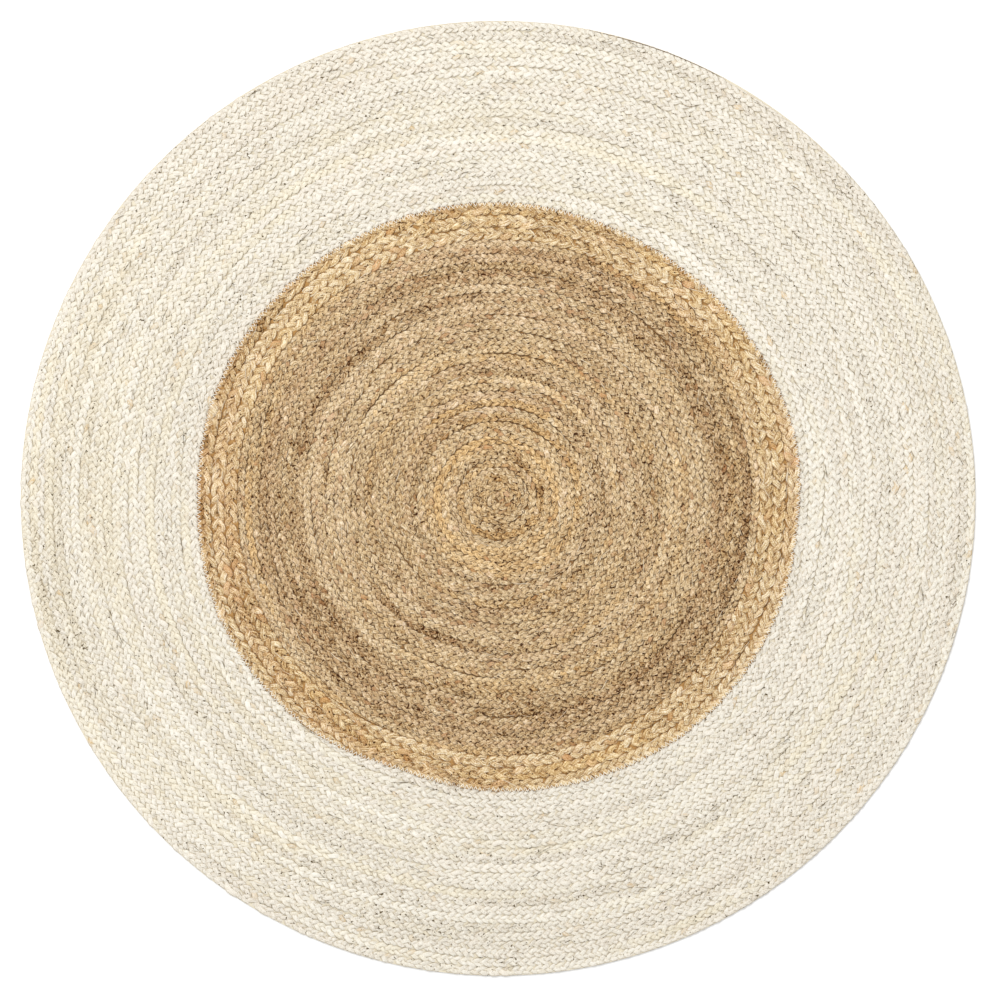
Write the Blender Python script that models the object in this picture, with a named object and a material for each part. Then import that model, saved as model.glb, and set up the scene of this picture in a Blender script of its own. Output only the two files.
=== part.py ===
"""Round braided jute rug, lying flat, as the three coils that it is sewn from.

A rug of this kind is one long flat braid of three strands, laid edge to edge in a
flat spiral and sewn turn to turn. It starts with a natural braid in the middle, goes
on with three turns of a broader golden braid, and ends with a bleached braid out to
the rim. Each coil is one solid with a ridge along every turn of its braid, because
the sewing pulls the seam between two turns down. The underside is flat.

Units are metres, +Z is up, and the origin is the middle of the underside.
"""

import math
from dataclasses import dataclass
from typing import Callable

import bmesh
import bpy

# Driving dimensions of the whole rug.
RUG_DIAMETER = 1.830
COLOUR_CHANGE_RADIUS = 0.5728
GOLDEN_BAND_WIDTH = 0.0741
SEWN_GAP = 0.0003

# Turns of braid that a straight line from the middle to the rim crosses.
NATURAL_TURNS = 34.0
GOLDEN_TURNS = 3.0
BLEACHED_TURNS = 21.5

# Heights of the braids at the middle of a turn and at the seam between two turns.
FINE_BRAID_CREST = 0.0090
FINE_BRAID_SEAM = 0.0062
BROAD_BRAID_CREST = 0.0110
BROAD_BRAID_SEAM = 0.0072

# The rim is the side of the last turn, which draws in below its widest height.
RIM_WIDEST_HEIGHT = 0.0032
RIM_UNDERCUT = 0.0022

# Straight steps that a full turn is drawn with, and samples across one braid.
STEPS_PER_TURN = 56
SAMPLES_PER_BRAID = 2
FIRST_RIDGE_TURN = 0.5
MERGE_DISTANCE = 0.00001

# How far the line between the golden and the bleached braid strays from its circle,
# with columns angle in degrees from +X and offset in millimetres, outwards positive.
# It steps inwards where a braid starts, near 40 and near 245 degrees.
COLOUR_CHANGE_WANDER = (
    (10.0, 9.6),
    (30.0, 1.9),
    (48.0, -6.1),
    (66.0, -9.2),
    (90.0, -5.4),
    (120.0, -2.7),
    (138.0, 2.7),
    (160.0, 7.1),
    (180.0, 4.4),
    (200.0, 9.0),
    (225.0, 2.9),
    (238.0, -5.8),
    (250.0, -18.4),
    (265.0, -12.5),
    (290.0, -4.2),
    (312.0, 5.8),
    (338.0, 8.1),
    (354.0, 4.4),
)

# The inner line of the golden band lies nearer to a true circle.
INNER_WANDER_SHARE = 0.4

NATURAL_JUTE = (0.515, 0.352, 0.191, 1.0)
GOLDEN_JUTE = (0.617, 0.440, 0.242, 1.0)
BLEACHED_JUTE = (0.831, 0.768, 0.638, 1.0)
JUTE_ROUGHNESS = 0.92


@dataclass(frozen=True)
class Coil:
    """One flat spiral of braid between two edge lines, each a function of the angle.

    The centre coil has no inner edge, and the outer coil ends in the rug's rim.
    """

    name: str
    inner_edge: Callable
    outer_edge: Callable
    turns: float
    crest: float
    seam: float
    colour: tuple
    is_centre: bool = False
    has_rim: bool = False


def colour_change_offset(angle):
    """Return how far the colour change strays from its circle at an angle, in metres."""
    degrees = math.degrees(angle) % 360.0
    rows = COLOUR_CHANGE_WANDER
    count = len(rows)
    after = next((i for i, row in enumerate(rows) if row[0] > degrees), 0)
    before = (after - 1) % count
    span = (rows[after][0] - rows[before][0]) % 360.0
    share = ((degrees - rows[before][0]) % 360.0) / span
    first = rows[before - 1][1]
    start = rows[before][1]
    end = rows[after][1]
    last = rows[(after + 1) % count][1]
    cubic = (3.0 * (start - end) + last - first) * share
    square = (2.0 * first - 5.0 * start + 4.0 * end - last + cubic) * share
    offset = start + 0.5 * share * (end - first + square)
    return offset / 1000.0


def rim_edge(angle):
    """Return the radius of the rug's outer rim, a true circle."""
    return RUG_DIAMETER / 2.0


def golden_outer_edge(angle):
    """Return the radius of the line between the golden and the bleached braid."""
    return COLOUR_CHANGE_RADIUS + colour_change_offset(angle)


def golden_inner_edge(angle):
    """Return the radius of the line between the natural and the golden braid."""
    circle = COLOUR_CHANGE_RADIUS - GOLDEN_BAND_WIDTH
    return circle + INNER_WANDER_SHARE * colour_change_offset(angle)


def middle(angle):
    """Return the radius of the middle of the rug."""
    return 0.0


def turn_radius(coil, angle, turn):
    """Return the radius of a place across a coil, counted in turns from its inner edge."""
    inner = coil.inner_edge(angle)
    if not coil.is_centre:
        inner += SEWN_GAP / 2.0
    outer = coil.outer_edge(angle)
    if not coil.has_rim:
        outer -= SEWN_GAP / 2.0
    return inner + (outer - inner) * turn / coil.turns


def ridge_height(coil, sample, turn):
    """Return the height of the top at a sample, which is a seam when even, else a crest.

    The edge lines are as low as a seam, and a crest close to one is lower in proportion.
    """
    on_edge = not 0.0 < turn < coil.turns
    if on_edge or sample % SAMPLES_PER_BRAID == 0:
        return coil.seam
    room = coil.turns - turn
    if not coil.is_centre:
        room = min(room, turn)
    return coil.seam + (coil.crest - coil.seam) * min(1.0, SAMPLES_PER_BRAID * room)


def ridge_turn(coil, sample, step):
    """Return where a seam or crest of the spiral lies, in turns from the inner edge."""
    turn = sample / SAMPLES_PER_BRAID + step / STEPS_PER_TURN
    if coil.is_centre and turn < FIRST_RIDGE_TURN:
        return 0.0
    return min(max(turn, 0.0), coil.turns)


def polar_point(angle, radius, height):
    """Return a point from its angle, its radius and its height."""
    return (radius * math.cos(angle), radius * math.sin(angle), height)


def top_line(mesh, coil, step):
    """Add the vertices of the top along one straight line from the middle to the rim."""
    angle = math.tau * step / STEPS_PER_TURN
    first = -SAMPLES_PER_BRAID
    last = math.ceil(SAMPLES_PER_BRAID * coil.turns)
    line = []
    for sample in range(first, last + 1):
        turn = ridge_turn(coil, sample, step)
        radius = turn_radius(coil, angle, turn)
        height = ridge_height(coil, sample, turn)
        line.append(mesh.verts.new(polar_point(angle, radius, height)))
    return line


def add_top(mesh, coil):
    """Add the ridged top of a coil, whose last line is its first one turn further out."""
    lines = [top_line(mesh, coil, step) for step in range(STEPS_PER_TURN + 1)]
    for line, next_line in zip(lines, lines[1:]):
        for corner in range(len(line) - 1):
            face = (line[corner], line[corner + 1], next_line[corner + 1], next_line[corner])
            mesh.faces.new(face)
    bmesh.ops.remove_doubles(mesh, verts=mesh.verts[:], dist=MERGE_DISTANCE)
    bmesh.ops.dissolve_degenerate(mesh, edges=mesh.edges[:], dist=MERGE_DISTANCE)


def drop_loop(mesh, edges, height, inset):
    """Extrude a loop of edges down to a height, drawn in by an inset, and return it."""
    made = bmesh.ops.extrude_edge_only(mesh, edges=edges)["geom"]
    for vertex in (item for item in made if isinstance(item, bmesh.types.BMVert)):
        scale = 1.0 - inset / vertex.co.xy.length
        vertex.co.x *= scale
        vertex.co.y *= scale
        vertex.co.z = height
    return [item for item in made if isinstance(item, bmesh.types.BMEdge)]


def loops_by_radius(mesh):
    """Return the open edge loops of the top, the inner one first where there are two."""
    border = [edge for edge in mesh.edges if edge.is_boundary]
    reach = [edge.verts[0].co.xy.length for edge in border]
    halfway = (min(reach) + max(reach)) / 2.0
    inner = [edge for edge, radius in zip(border, reach) if radius < halfway]
    outer = [edge for edge, radius in zip(border, reach) if radius >= halfway]
    return inner, outer


def close_underside(mesh, coil):
    """Add the sides of a coil and its flat underside."""
    inner, outer = loops_by_radius(mesh)
    if coil.is_centre:
        outer = inner + outer
    if coil.has_rim:
        outer = drop_loop(mesh, outer, RIM_WIDEST_HEIGHT, 0.0)
        outer = drop_loop(mesh, outer, 0.0, RIM_UNDERCUT)
    else:
        outer = drop_loop(mesh, outer, 0.0, 0.0)
    if coil.is_centre:
        bmesh.ops.contextual_create(mesh, geom=outer)
    else:
        inner = drop_loop(mesh, inner, 0.0, 0.0)
        bmesh.ops.bridge_loops(mesh, edges=inner + outer)


def jute_material(coil):
    """Return the plain matt finish of a coil's yarn."""
    material = bpy.data.materials.new(coil.name)
    material.use_nodes = True
    shader = material.node_tree.nodes["Principled BSDF"]
    shader.inputs["Base Color"].default_value = coil.colour
    shader.inputs["Roughness"].default_value = JUTE_ROUGHNESS
    shader.inputs["Metallic"].default_value = 0.0
    material.diffuse_color = coil.colour
    return material


def add_coil(coil):
    """Model a coil as one closed solid and link it to the scene."""
    mesh = bmesh.new()
    add_top(mesh, coil)
    close_underside(mesh, coil)
    bmesh.ops.recalc_face_normals(mesh, faces=mesh.faces[:])
    data = bpy.data.meshes.new(coil.name)
    mesh.to_mesh(data)
    mesh.free()
    data.materials.append(jute_material(coil))
    data.shade_smooth()
    data.set_sharp_from_angle(angle=math.radians(60.0))
    body = bpy.data.objects.new(coil.name, data)
    bpy.context.scene.collection.objects.link(body)
    return body


def rug_coils():
    """Return the three coils, from the middle outwards."""
    natural = Coil(
        name="natural_centre_coil",
        inner_edge=middle,
        outer_edge=golden_inner_edge,
        turns=NATURAL_TURNS,
        crest=FINE_BRAID_CREST,
        seam=FINE_BRAID_SEAM,
        colour=NATURAL_JUTE,
        is_centre=True,
    )
    golden = Coil(
        name="golden_border_coil",
        inner_edge=golden_inner_edge,
        outer_edge=golden_outer_edge,
        turns=GOLDEN_TURNS,
        crest=BROAD_BRAID_CREST,
        seam=BROAD_BRAID_SEAM,
        colour=GOLDEN_JUTE,
    )
    bleached = Coil(
        name="bleached_outer_coil",
        inner_edge=golden_outer_edge,
        outer_edge=rim_edge,
        turns=BLEACHED_TURNS,
        crest=FINE_BRAID_CREST,
        seam=FINE_BRAID_SEAM,
        colour=BLEACHED_JUTE,
        has_rim=True,
    )
    return natural, golden, bleached


def main():
    """Clear the scene and model the rug."""
    for existing in list(bpy.data.objects):
        bpy.data.objects.remove(existing)
    for coil in rug_coils():
        add_coil(coil)


main()
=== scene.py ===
"""Looks of a round braided jute rug that lies flat on a pale floor.

The rug is a flat spiral of 3-strand braid, sewn turn to turn. This script winds the
strands of each coil one by one, lays a thin ground of packed yarn in the middle of
them, scatters loose fibres over them, lays a cream tuft by the colour change and a dark
fibre on the rim as a painted shadow line, sews the zigzag, and dresses each coil in its
own jute, with painted shade in its crevices and gaps.
"""

import logging
import math
from dataclasses import dataclass, fields
from enum import Enum, IntEnum

import bmesh
import bpy
import numpy as np
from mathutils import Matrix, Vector
from mathutils.bvhtree import BVHTree


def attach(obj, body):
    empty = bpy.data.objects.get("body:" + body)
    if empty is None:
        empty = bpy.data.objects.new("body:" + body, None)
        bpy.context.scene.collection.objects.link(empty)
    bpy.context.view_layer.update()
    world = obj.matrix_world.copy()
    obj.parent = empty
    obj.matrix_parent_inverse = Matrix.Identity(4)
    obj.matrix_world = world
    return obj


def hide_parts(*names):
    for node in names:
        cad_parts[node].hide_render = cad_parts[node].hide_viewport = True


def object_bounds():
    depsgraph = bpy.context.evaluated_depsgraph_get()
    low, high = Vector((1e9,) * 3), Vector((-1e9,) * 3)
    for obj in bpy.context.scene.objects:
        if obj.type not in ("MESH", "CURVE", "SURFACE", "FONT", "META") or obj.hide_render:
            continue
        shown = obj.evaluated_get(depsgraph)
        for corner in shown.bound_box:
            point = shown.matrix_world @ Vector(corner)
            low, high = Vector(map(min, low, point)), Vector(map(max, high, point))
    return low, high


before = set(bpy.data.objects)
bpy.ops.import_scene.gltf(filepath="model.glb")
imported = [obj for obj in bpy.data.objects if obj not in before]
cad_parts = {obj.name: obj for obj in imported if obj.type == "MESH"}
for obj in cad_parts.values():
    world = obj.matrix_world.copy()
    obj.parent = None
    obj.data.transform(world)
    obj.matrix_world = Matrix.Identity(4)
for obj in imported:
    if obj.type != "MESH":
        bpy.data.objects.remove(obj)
cad_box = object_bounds()

log = logging.getLogger("rug")

Colour = tuple[float, float, float]
Socket = bpy.types.NodeSocket

BODY = "root"
WHITE: Colour = (1.0, 1.0, 1.0)

# The rug in plan, in metres. The rim is read from the frame.
RIM_RADIUS = cad_box[1].x
COLOUR_CHANGE_RADIUS = 0.5728
GOLDEN_BAND_WIDTH = 0.0741
INNER_WANDER_SHARE = 0.4
STEP_DEGREES = 222.0

# How far the line between the golden and the bleached braid strays from its circle,
# with columns angle in degrees from +X and offset in millimetres, outwards positive.
COLOUR_CHANGE_WANDER = (
    (10.0, 9.6),
    (30.0, 1.9),
    (48.0, -6.1),
    (66.0, -9.2),
    (90.0, -5.4),
    (120.0, -2.7),
    (138.0, 2.7),
    (160.0, 7.1),
    (180.0, 4.4),
    (200.0, 9.0),
    (225.0, 2.9),
    (238.0, -5.8),
    (250.0, -18.4),
    (265.0, -12.5),
    (290.0, -4.2),
    (312.0, 5.8),
    (338.0, 8.1),
    (354.0, 4.4),
)

# The middle line of a braid has this many samples to a turn. It sways in a few lobes,
# with columns number of lobes and shift, which turn by so many radians to a metre of
# radius. It is calmer in the last braids beside an edge line.
STEPS_PER_TURN = 720
SWAY_LOBES = ((2.0, 0.4), (3.0, 2.1), (7.0, 4.0))
SWAY_TWIST = 9.0
CALM_BRAIDS = 2.0

# On the map of the yarn, strands lie this far apart in metres, and the way round a
# strand is this many times its half width.
STRAND_SPACING = 0.1
WAY_ROUND = 5.0

# Straight steps of an edge of the ground, and the height in metres that counts where
# no braid lies beneath a thread or fibre.
GROUND_STEPS = 180
BARE_HEIGHT = 0.006


class Jute(Enum):
    """The three kinds of yarn, each with the name of its slot in the record."""

    NATURAL = "natural_jute"
    GOLDEN = "golden_jute"
    BLEACHED = "bleached_jute"


def srgb(red: int, green: int, blue: int) -> Colour:
    """Turn a colour as seen on a screen into the linear one that a shader takes.

    Args:
        red, green, blue: the colour's parts, from 0 to 255.

    Returns:
        The linear colour, from 0 to 1.
    """

    def linear(part: int) -> float:
        """Undo the screen's curve for one part."""
        share = part / 255.0
        return share / 12.92 if share <= 0.04045 else ((share + 0.055) / 1.055) ** 2.4

    return (linear(red), linear(green), linear(blue))


def round_angles(count: int) -> np.ndarray:
    """Give some evenly spaced angles round the rug, in radians."""
    return math.tau * np.arange(count) / count


def polar_places(angle: np.ndarray, radius: np.ndarray, height: np.ndarray) -> np.ndarray:
    """Turn angles, radii and heights into rows of x, y and z."""
    return np.stack((radius * np.cos(angle), radius * np.sin(angle), height), axis=1)


def smooth_noise(rng: np.random.Generator, place: np.ndarray, spacing: float) -> np.ndarray:
    """Make a soft random line along a length.

    Args:
        rng: the source of the random knots.
        place: distances along the length, from 0 up.
        spacing: the distance between two knots.

    Returns:
        One value for each place, with a spread of about 1 at the knots.
    """
    knots = rng.standard_normal(int(place.max() / spacing) + 3)
    index = np.floor(place / spacing).astype(int)
    share = place / spacing - index
    share = share * share * (3.0 - 2.0 * share)
    return knots[index] * (1.0 - share) + knots[index + 1] * share


@dataclass(frozen=True)
class EdgeLine:
    """A closed line round the rug: a circle that may stray by a share of the wander."""

    radius: float
    wander_share: float = 0.0

    def at(self, angle: np.ndarray) -> np.ndarray:
        """Give the line's radius at some angles.

        Args:
            angle: angles from +X, in radians, of any number of turns.

        Returns:
            The radius at each angle, in metres.
        """
        table = np.array(COLOUR_CHANGE_WANDER)
        degrees = np.degrees(np.asarray(angle, float)) % 360.0
        after = np.searchsorted(table[:, 0], degrees, side="right") % len(table)
        before = (after - 1) % len(table)
        span = (table[after, 0] - table[before, 0]) % 360.0
        share = ((degrees - table[before, 0]) % 360.0) / span
        first, start = table[(before - 1) % len(table), 1], table[before, 1]
        end, last = table[after, 1], table[(after + 1) % len(table), 1]
        cubic = (3.0 * (start - end) + last - first) * share
        square = (2.0 * first - 5.0 * start + 4.0 * end - last + cubic) * share
        offset = start + 0.5 * share * (end - first + square)
        return self.radius + self.wander_share * offset / 1000.0


@dataclass(frozen=True)
class Winding:
    """How the turns of a coil lie between its edge lines.

    Close to an edge line the turns are rings that step out by one braid in a short
    arc, so that the line has a whole braid beside it. Further in they are a spiral.
    """

    turns: float
    start_degrees: float
    first_rings: float = 0.0
    last_rings: float = 0.0
    step_share: float = 0.075

    def stair(self, turn: np.ndarray) -> np.ndarray:
        """Count whole turns, with a soft step at the start of each.

        Args:
            turn: how far along the coil, in turns.

        Returns:
            The number of turns so far, which rises only in the steps.
        """
        whole = np.floor(turn)
        rise = np.clip((turn - whole) / self.step_share, 0.0, 1.0)
        return whole + rise * rise * (3.0 - 2.0 * rise)

    def outer_side(self, turn: np.ndarray) -> np.ndarray:
        """Give the place of the braid's outer side, in braids from the inner line.

        Args:
            turn: how far along the coil, in turns from its start.

        Returns:
            The place, from 0 at the inner line to the number of turns at the outer.
        """
        spiral = turn + 0.5
        place = spiral.copy()
        if self.first_rings:
            share = np.clip(1.0 - turn / self.first_rings, 0.0, 1.0)
            place += share * (self.stair(turn) - spiral)
        if self.last_rings:
            share = np.clip(1.0 - (self.turns - turn) / self.last_rings, 0.0, 1.0)
            place += share * (self.stair(turn - self.turns) + self.turns - spiral)
        return np.clip(place, 0.0, self.turns)


@dataclass(frozen=True)
class Patch:
    """A soft-edged stretch of a ring where the yarn has another tone or hue.

    The hue is called gold: up it goes to golden, and down it goes to rosy.
    """

    degrees: float
    half_arc: float
    radius: float
    half_breadth: float
    tone: float
    gold: float = 0.0

    def weight(self, angle: np.ndarray, radius: np.ndarray) -> np.ndarray:
        """Tell how much of the patch a place has.

        Args:
            angle: angles from +X, in radians.
            radius: the distances from the middle.

        Returns:
            Its share at each place, 1 in the middle of the patch.
        """
        away = np.degrees(angle) - self.degrees
        away = (away + 180.0) % 360.0 - 180.0
        across = (radius - self.radius) / self.half_breadth
        return np.exp(-((away / self.half_arc) ** 2) - across**2)


class NodeSheet:
    """A short way to place and link the nodes of one material."""

    def __init__(self, name: str) -> None:
        """Start an empty material.

        Args:
            name: the material's name.
        """
        self.material = bpy.data.materials.new(name)
        self.material.use_nodes = True
        self.tree = self.material.node_tree
        self.shader = self.tree.nodes["Principled BSDF"]

    def add(self, kind: str, inputs: dict | None = None, **settings: object) -> bpy.types.Node:
        """Place a node.

        Args:
            kind: the node's type, without the words ShaderNode.
            inputs: what each input holds, by name or number: a value, or a socket to link.
            settings: the node's own settings.

        Returns:
            The new node.
        """
        node = self.tree.nodes.new("ShaderNode" + kind)
        for name, value in settings.items():
            setattr(node, name, value)
        for name, value in (inputs or {}).items():
            self.put(node.inputs[name], value)
        return node

    def put(self, socket: bpy.types.NodeSocket, value: object) -> None:
        """Link a socket to another, or set its value.

        Args:
            socket: the input to fill.
            value: an output socket, a number, a vector or a colour.
        """
        if isinstance(value, bpy.types.NodeSocket):
            self.tree.links.new(value, socket)
        elif isinstance(value, tuple) and socket.type == "RGBA":
            socket.default_value = (*value, 1.0)
        else:
            socket.default_value = value

    def maths(
        self, operation: str, first: object, second: object, third: object = 0.0
    ) -> Socket:
        """Place a Math node and return its result.

        Args:
            operation: the node's operation, such as MULTIPLY_ADD.
            first, second, third: numbers or sockets.

        Returns:
            The node's output socket.
        """
        return self.add("Math", {0: first, 1: second, 2: third}, operation=operation).outputs[0]

    def noise(
        self, where: Socket, scale: float, detail: float = 2.0, rough: float = 0.5
    ) -> Socket:
        """Place a Noise Texture node and return its value.

        Args:
            where: the socket with the coordinates.
            scale: features to a metre.
            detail: how many finer layers it has.
            rough: how strong the finer layers are.

        Returns:
            The node's output socket, from 0 to 1.
        """
        inputs = {"Vector": where, "Scale": scale, "Detail": detail, "Roughness": rough}
        return self.add("TexNoise", inputs).outputs[0]

    def fade(self, value: Socket, start: float, end: float) -> Socket:
        """Turn a value into a share that runs from 0 to 1 between two of its values."""
        inputs = {"Value": value, "From Min": start, "From Max": end}
        return self.add("MapRange", inputs).outputs[0]

    def attribute(self, name: str) -> Socket:
        """Read a number that the mesh holds, and return its socket."""
        return self.add("Attribute", attribute_name=name).outputs["Fac"]

    def ramp(self, value: Socket, stops: tuple) -> Socket:
        """Place a Color Ramp node.

        Args:
            value: the socket that picks the colour.
            stops: pairs of a place from 0 to 1 and a linear colour.

        Returns:
            The node's colour socket.
        """
        node = self.add("ValToRGB", {0: value})
        elements = node.color_ramp.elements
        while len(elements) < len(stops):
            elements.new(1.0)
        for element, (place, colour) in zip(elements, stops):
            element.position = place
            element.color = (*colour, 1.0)
        return node.outputs[0]

    def mix(self, share: object, first: object, second: object, blend: str = "MIX") -> Socket:
        """Place a colour Mix node and return its colour.

        Args:
            share: how much of the second colour there is.
            first, second: colours or sockets.
            blend: how the two are blended.

        Returns:
            The node's colour socket.
        """
        node = self.add("Mix", data_type="RGBA", blend_type=blend)
        self.put(node.inputs[0], share)
        self.put(node.inputs[6], first)
        self.put(node.inputs[7], second)
        return node.outputs[2]

    def relief(self, height: Socket, strength: float, distance: float) -> None:
        """Raise the surface a little.

        Args:
            height: the socket with the height, from 0 to 1.
            strength: how much of the relief shows.
            distance: how high it stands, in metres.
        """
        bump = self.add("Bump", {"Strength": strength, "Distance": distance, "Height": height})
        self.put(self.shader.inputs["Normal"], bump.outputs[0])


@dataclass(frozen=True)
class JuteFinish:
    """The colour and surface of one kind of jute yarn.

    Its scales are features to a metre. The tone picks a colour of the palette, and the
    strands' meshes hold tone, gold, warmth, a share of painted light and a map of the yarn.
    Where that share is low, the crevice colour paints shade into the yarn.
    """

    jute: Jute
    palette: tuple
    rosy: Colour
    gold: Colour
    warm: Colour
    # painted shade that darkens the yarn where its painted light is low
    painted_crevice_shade: Colour
    # darkens the packed yarn between the strands: painted shade in the gaps
    ground: Colour
    # dark specks of the yarn, and painted shade in the gaps between strands
    pore_and_gap_shade: Colour
    pore_level: float
    streaks: float
    grain: float
    roughness: float = 0.9
    streak_scale: float = 130.0
    fibre_scale: float = 560.0
    grain_scale: float = 430.0
    packed_scale: float = 420.0
    pore_scale: float = 230.0
    pore_edge: float = 0.02
    # how much more the pores gather where the painted light is low, as painted shade
    pore_pull_to_shade: float = 0.12
    pore_tone: float = 0.45
    warm_streaks: tuple[float, float] = (0.42, 0.58)
    relief_strength: float = 0.55
    relief_height: float = 0.0009
    gloss: float = 0.15
    sheen: float = 0.03
    sheen_roughness: float = 0.6

    def strand_material(self) -> bpy.types.Material:
        """Dress the strands.

        Returns:
            The material.
        """
        sheet = NodeSheet(self.jute.value + "_strands")
        place = sheet.add("TexCoord").outputs["Object"]
        tone = sheet.attribute("tone")
        painted_light = sheet.attribute("depth")
        fibres = self.fibre_streaks(sheet)
        grain = sheet.noise(place, self.grain_scale, detail=2.0, rough=0.6)
        colour = self.yarn_colour(sheet, tone, fibres, grain)
        in_streak = sheet.fade(fibres, *self.warm_streaks)
        warmth = sheet.maths("MULTIPLY", sheet.attribute("warmth"), in_streak)
        colour = sheet.mix(warmth, colour, self.warm, "MULTIPLY")
        # Painted shade: the crevice colour darkens the strands' sides, undersides and dips.
        shade = sheet.mix(painted_light, self.painted_crevice_shade, WHITE)
        colour = sheet.mix(1.0, colour, shade, "MULTIPLY")
        # Pores: dark specks, and painted shade in the gaps where the painted light is low.
        colour = sheet.mix(self.pores_and_gap_shade(sheet, place, painted_light, tone), colour, self.pore_and_gap_shade)
        self.finish_shader(sheet, colour, fibres, uneven=0.16)
        return sheet.material

    def fibre_streaks(self, sheet: NodeSheet) -> Socket:
        """Draw the fine streaks of the fibres along the yarn.

        Args:
            sheet: the material.

        Returns:
            The socket with the streaks, from 0 to 1.
        """
        strand = sheet.add("UVMap", uv_map="strand").outputs[0]
        scale = (self.streak_scale, self.fibre_scale, 1.0)
        stretched = sheet.add("Mapping", {"Vector": strand, "Scale": scale}).outputs[0]
        return sheet.noise(stretched, scale=1.0, detail=3.0, rough=0.65)

    def yarn_colour(self, sheet: NodeSheet, tone: Socket, fibres: Socket, grain: Socket) -> Socket:
        """Colour the yarn by its tone, its streaks, its grain and its hue.

        Args:
            sheet: the material.
            tone: the tone that the mesh holds.
            fibres, grain: the sockets with the streaks and the grain, from 0 to 1.

        Returns:
            The colour's socket.
        """
        tone = sheet.maths("MULTIPLY_ADD", fibres, self.streaks, tone)
        tone = sheet.maths("MULTIPLY_ADD", grain, self.grain, tone)
        tone = sheet.maths("SUBTRACT", tone, 0.5 * (self.streaks + self.grain))
        hues = ((0.0, self.rosy), (0.5, WHITE), (1.0, self.gold))
        hue = sheet.ramp(sheet.attribute("gold"), hues)
        return sheet.mix(1.0, sheet.ramp(tone, self.palette), hue, "MULTIPLY")

    def pores_and_gap_shade(self, sheet: NodeSheet, place: Socket, painted_light: Socket, tone: Socket) -> Socket:
        """Open small dark pores, most of them where the painted light is low and where the yarn
        is dark: dark specks of the yarn, and painted shade in the gaps.

        Args:
            sheet: the material.
            place: the socket with the coordinates.
            painted_light: its share of painted light, from 0 to 1.
            tone: the tone that the mesh holds.

        Returns:
            The socket with 1 in a pore and 0 outside.
        """
        level = sheet.noise(place, self.pore_scale, detail=0.0)
        level = sheet.maths("MULTIPLY_ADD", painted_light, -self.pore_pull_to_shade, level)
        level = sheet.maths("MULTIPLY_ADD", tone, -self.pore_tone, level)
        return sheet.fade(level, self.pore_level, self.pore_level + self.pore_edge)

    def ground_material(self) -> bpy.types.Material:
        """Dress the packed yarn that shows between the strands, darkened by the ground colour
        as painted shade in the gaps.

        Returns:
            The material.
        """
        sheet = NodeSheet(self.jute.value + "_ground")
        place = sheet.add("TexCoord").outputs["Object"]
        packed = sheet.noise(place, self.packed_scale, detail=3.0, rough=0.6)
        # The ground colour paints shade into the yarn that shows in the gaps.
        colour = sheet.mix(1.0, sheet.ramp(packed, self.palette), self.ground, "MULTIPLY")
        self.finish_shader(sheet, colour, packed, uneven=0.1)
        return sheet.material

    def finish_shader(
        self, sheet: NodeSheet, colour: Socket, relief: Socket, uneven: float
    ) -> None:
        """Link what all jute shares: its colour, roughness, fibre relief and dull gloss.

        Args:
            sheet: the material to finish.
            colour: the socket with the colour.
            relief: the socket with the relief, from 0 to 1.
            uneven: how far the roughness follows the relief.
        """
        inputs = sheet.shader.inputs
        sheet.put(inputs["Base Color"], colour)
        rough = sheet.maths("MULTIPLY_ADD", relief, uneven, self.roughness - uneven / 2.0)
        sheet.put(inputs["Roughness"], rough)
        sheet.relief(relief, self.relief_strength, self.relief_height)
        inputs["Specular IOR Level"].default_value = self.gloss
        inputs["Sheen Weight"].default_value = self.sheen
        inputs["Sheen Roughness"].default_value = self.sheen_roughness


@dataclass(frozen=True)
class ThreadFinish:
    """The look of the white sewing thread."""

    dark: Colour = srgb(236, 228, 210)
    light: Colour = srgb(252, 248, 238)
    ply_scale: float = 2200.0
    roughness: float = 0.6
    uneven: float = 0.2

    def material(self) -> bpy.types.Material:
        """Dress the thread.

        Returns:
            The material.
        """
        sheet = NodeSheet("sewing_thread")
        place = sheet.add("TexCoord").outputs["Object"]
        ply = sheet.noise(place, self.ply_scale)
        colour = sheet.ramp(ply, ((0.3, self.dark), (0.7, self.light)))
        rough = sheet.maths("MULTIPLY_ADD", ply, self.uneven, self.roughness)
        sheet.put(sheet.shader.inputs["Base Color"], colour)
        sheet.put(sheet.shader.inputs["Roughness"], rough)
        sheet.relief(ply, strength=0.4, distance=0.0002)
        return sheet.material


@dataclass(frozen=True)
class FloorFinish:
    """The look of the plain pale floor."""

    colour: Colour = (0.93, 0.93, 0.93)
    roughness: float = 0.9

    def material(self) -> bpy.types.Material:
        """Dress the floor.

        Returns:
            The material.
        """
        sheet = NodeSheet("pale_floor")
        sheet.put(sheet.shader.inputs["Base Color"], self.colour)
        sheet.shader.inputs["Roughness"].default_value = self.roughness
        return sheet.material


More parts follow.
